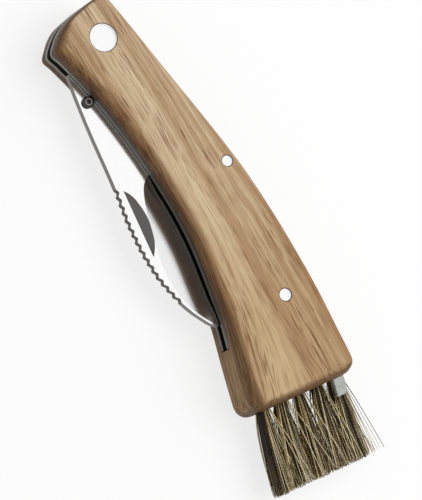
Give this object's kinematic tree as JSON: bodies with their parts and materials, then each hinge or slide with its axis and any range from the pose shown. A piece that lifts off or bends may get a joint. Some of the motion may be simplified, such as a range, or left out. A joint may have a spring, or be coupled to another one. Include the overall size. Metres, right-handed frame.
{
  "type": "folding mushroom knife",
  "caption": "Folding mushroom knife with a curved blade, wooden handle, bristle brush at its end and tweezers in a slot.",
  "frame": {"origin": "middle of the bounding box at its base, on the flat rear face that the closed knife lies on", "axes": "+X from the blade's pivot to the brush, +Y to the handle's back, +Z out of the front face"},
  "size_m": [0.1374, 0.0358, 0.0148],
  "materials": {
    "scale_wood": "oiled, fine sanded",
    "block_wood": "oiled, fine sanded",
    "liner_steel": "satin",
    "spring_steel": "satin",
    "blade_steel": "polished flats, satin grind",
    "pin_steel": "turned",
    "washer_bronze": "plain",
    "rivet_steel": "ground flush and polished",
    "anchor_wire": "drawn wire",
    "bristle": "natural boar bristle, dark roots and pale tips",
    "tweezers_steel": "satin",
    "tweezers_plastic": "moulded matt"
  },
  "bodies": {
    "handle": {"rear_scale": "scale_wood", "front_scale": "scale_wood", "brush_block": "block_wood", "rear_liner": "liner_steel", "front_liner": "liner_steel", "back_spring": "spring_steel", "rear_washer": "washer_bronze", "front_washer": "washer_bronze", "pivot_rivet_tube": "rivet_steel", "pivot_rivet_shank": "rivet_steel", "spring_pin": "rivet_steel", "tail_pin": "rivet_steel", "anchor_wire_1": "anchor_wire", "anchor_wire_2": "anchor_wire", "anchor_wire_3": "anchor_wire", "anchor_wire_4": "anchor_wire", "anchor_wire_5": "anchor_wire", "tuft_1": "bristle", "tuft_2": "bristle", "tuft_3": "bristle", "tufts_at_back": "bristle"},
    "blade": {"blade": "blade_steel", "closing_stop_pin": "pin_steel"},
    "tweezers": {"tweezers_strip": "tweezers_steel", "tweezers_head": "tweezers_plastic"}
  },
  "joints": [
    {"name": "blade_hinge", "type": "hinge", "parent": "handle", "child": "blade", "pos_m": [-0.05878, -0.00107, 0.0074], "axis": [0, 0, -1], "range_deg": [0, 180]},
    {"name": "tweezers_slide", "type": "slide", "parent": "handle", "child": "tweezers", "axis": [0.9988, -0.0499, 0], "range_m": [0, 0.034]}
  ]
}
